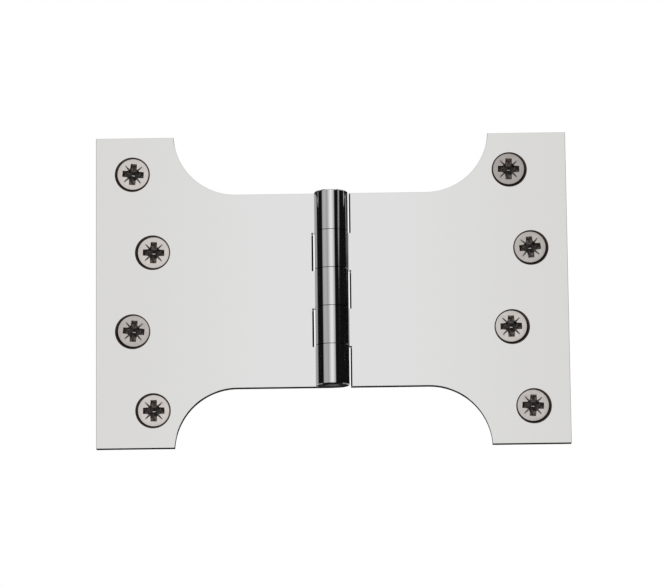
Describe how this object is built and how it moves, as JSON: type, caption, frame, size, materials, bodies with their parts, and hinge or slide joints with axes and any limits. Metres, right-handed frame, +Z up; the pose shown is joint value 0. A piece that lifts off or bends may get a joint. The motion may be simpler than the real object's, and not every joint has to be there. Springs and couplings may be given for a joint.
{
  "type": "parliament hinge",
  "caption": "H-shaped parliament hinge in polished chrome: scooped leaves with staggered countersunk screws turn on a pinned barrel, so a door folds back clear of its trim.",
  "frame": {"origin": "on the plane of the backs of the leaves, straight behind the pin and at mid height", "axes": "+X to the right over the right leaf, +Y out of the backs into the surface the hinge is fixed to, +Z up along the pin; the barrel and the screw heads face -Y"},
  "size_m": [0.1524, 0.0398, 0.1016],
  "materials": {
    "leaf_chrome": "mirror polish",
    "pin_steel": "ground",
    "screw_nickel": "nickel plated, bright"
  },
  "bodies": {
    "left": {"left_leaf": "leaf_chrome", "hinge_pin": "pin_steel", "left_leaf_screws": "screw_nickel"},
    "right": {"right_leaf": "leaf_chrome", "right_leaf_screws": "screw_nickel"}
  },
  "joints": [
    {"name": "leaf_hinge", "type": "hinge", "parent": "left", "child": "right", "pos_m": [0, -0.0054, 0], "axis": [0, 0, -1], "range_deg": [0, 180]}
  ]
}
